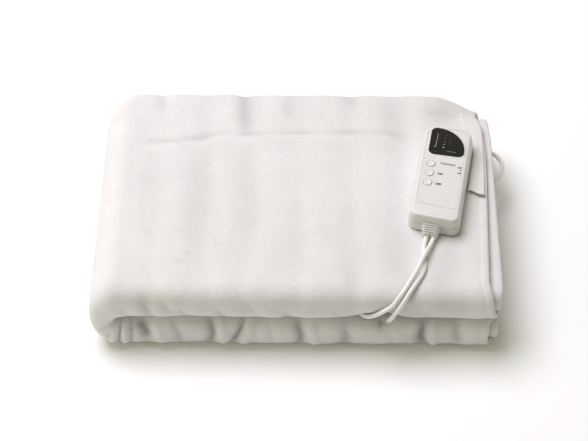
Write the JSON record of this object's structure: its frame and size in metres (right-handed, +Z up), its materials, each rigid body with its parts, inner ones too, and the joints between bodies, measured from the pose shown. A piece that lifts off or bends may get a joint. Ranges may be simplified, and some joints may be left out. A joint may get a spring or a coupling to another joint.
{
  "type": "heated mattress pad",
  "caption": "White fleece heated mattress pad folded for storage, with a push-button controller lying on top and its leads tucked between the folded halves.",
  "frame": {"origin": "centre of the folded pad's footprint, on the surface it lies on", "axes": "+X along the folded strip, from the left fold to the hems; +Y from the front fold to the back; +Z up"},
  "size_m": [0.4366, 0.3028, 0.111],
  "materials": {
    "white_fleece": "matt brushed fleece",
    "white_strap": "matt gathered cloth",
    "white_plastic": "satin moulded plastic",
    "black_display": "gloss black",
    "white_cord": "smooth soft plastic sheath",
    "pin_metal": "nickel plated"
  },
  "bodies": {
    "folded_pad": {"pad": "white_fleece", "corner_strap": "white_strap", "controller_base": "white_plastic", "controller_cover": "white_plastic", "display_window": "black_display", "strain_relief": "white_plastic", "mains_lead": "white_cord", "mains_coil": "white_cord", "mains_tail": "white_cord", "pad_lead": "white_cord", "plug": "white_plastic", "plug_pin_1": "pin_metal", "plug_pin_2": "pin_metal"},
    "button_1_body": {"button_1": "white_plastic"},
    "button_2_body": {"button_2": "white_plastic"},
    "button_3_body": {"button_3": "white_plastic"}
  },
  "joints": [
    {"name": "button_1_press", "type": "slide", "parent": "folded_pad", "child": "button_1_body", "axis": [0, 0, -1], "range_m": [0, 0.0008], "stiffness_N_per_m": 400, "springref_m": -0.0005},
    {"name": "button_2_press", "type": "slide", "parent": "folded_pad", "child": "button_2_body", "axis": [0, 0, -1], "range_m": [0, 0.0008], "stiffness_N_per_m": 400, "springref_m": -0.0005},
    {"name": "button_3_press", "type": "slide", "parent": "folded_pad", "child": "button_3_body", "axis": [0, 0, -1], "range_m": [0, 0.0008], "stiffness_N_per_m": 400, "springref_m": -0.0005}
  ]
}
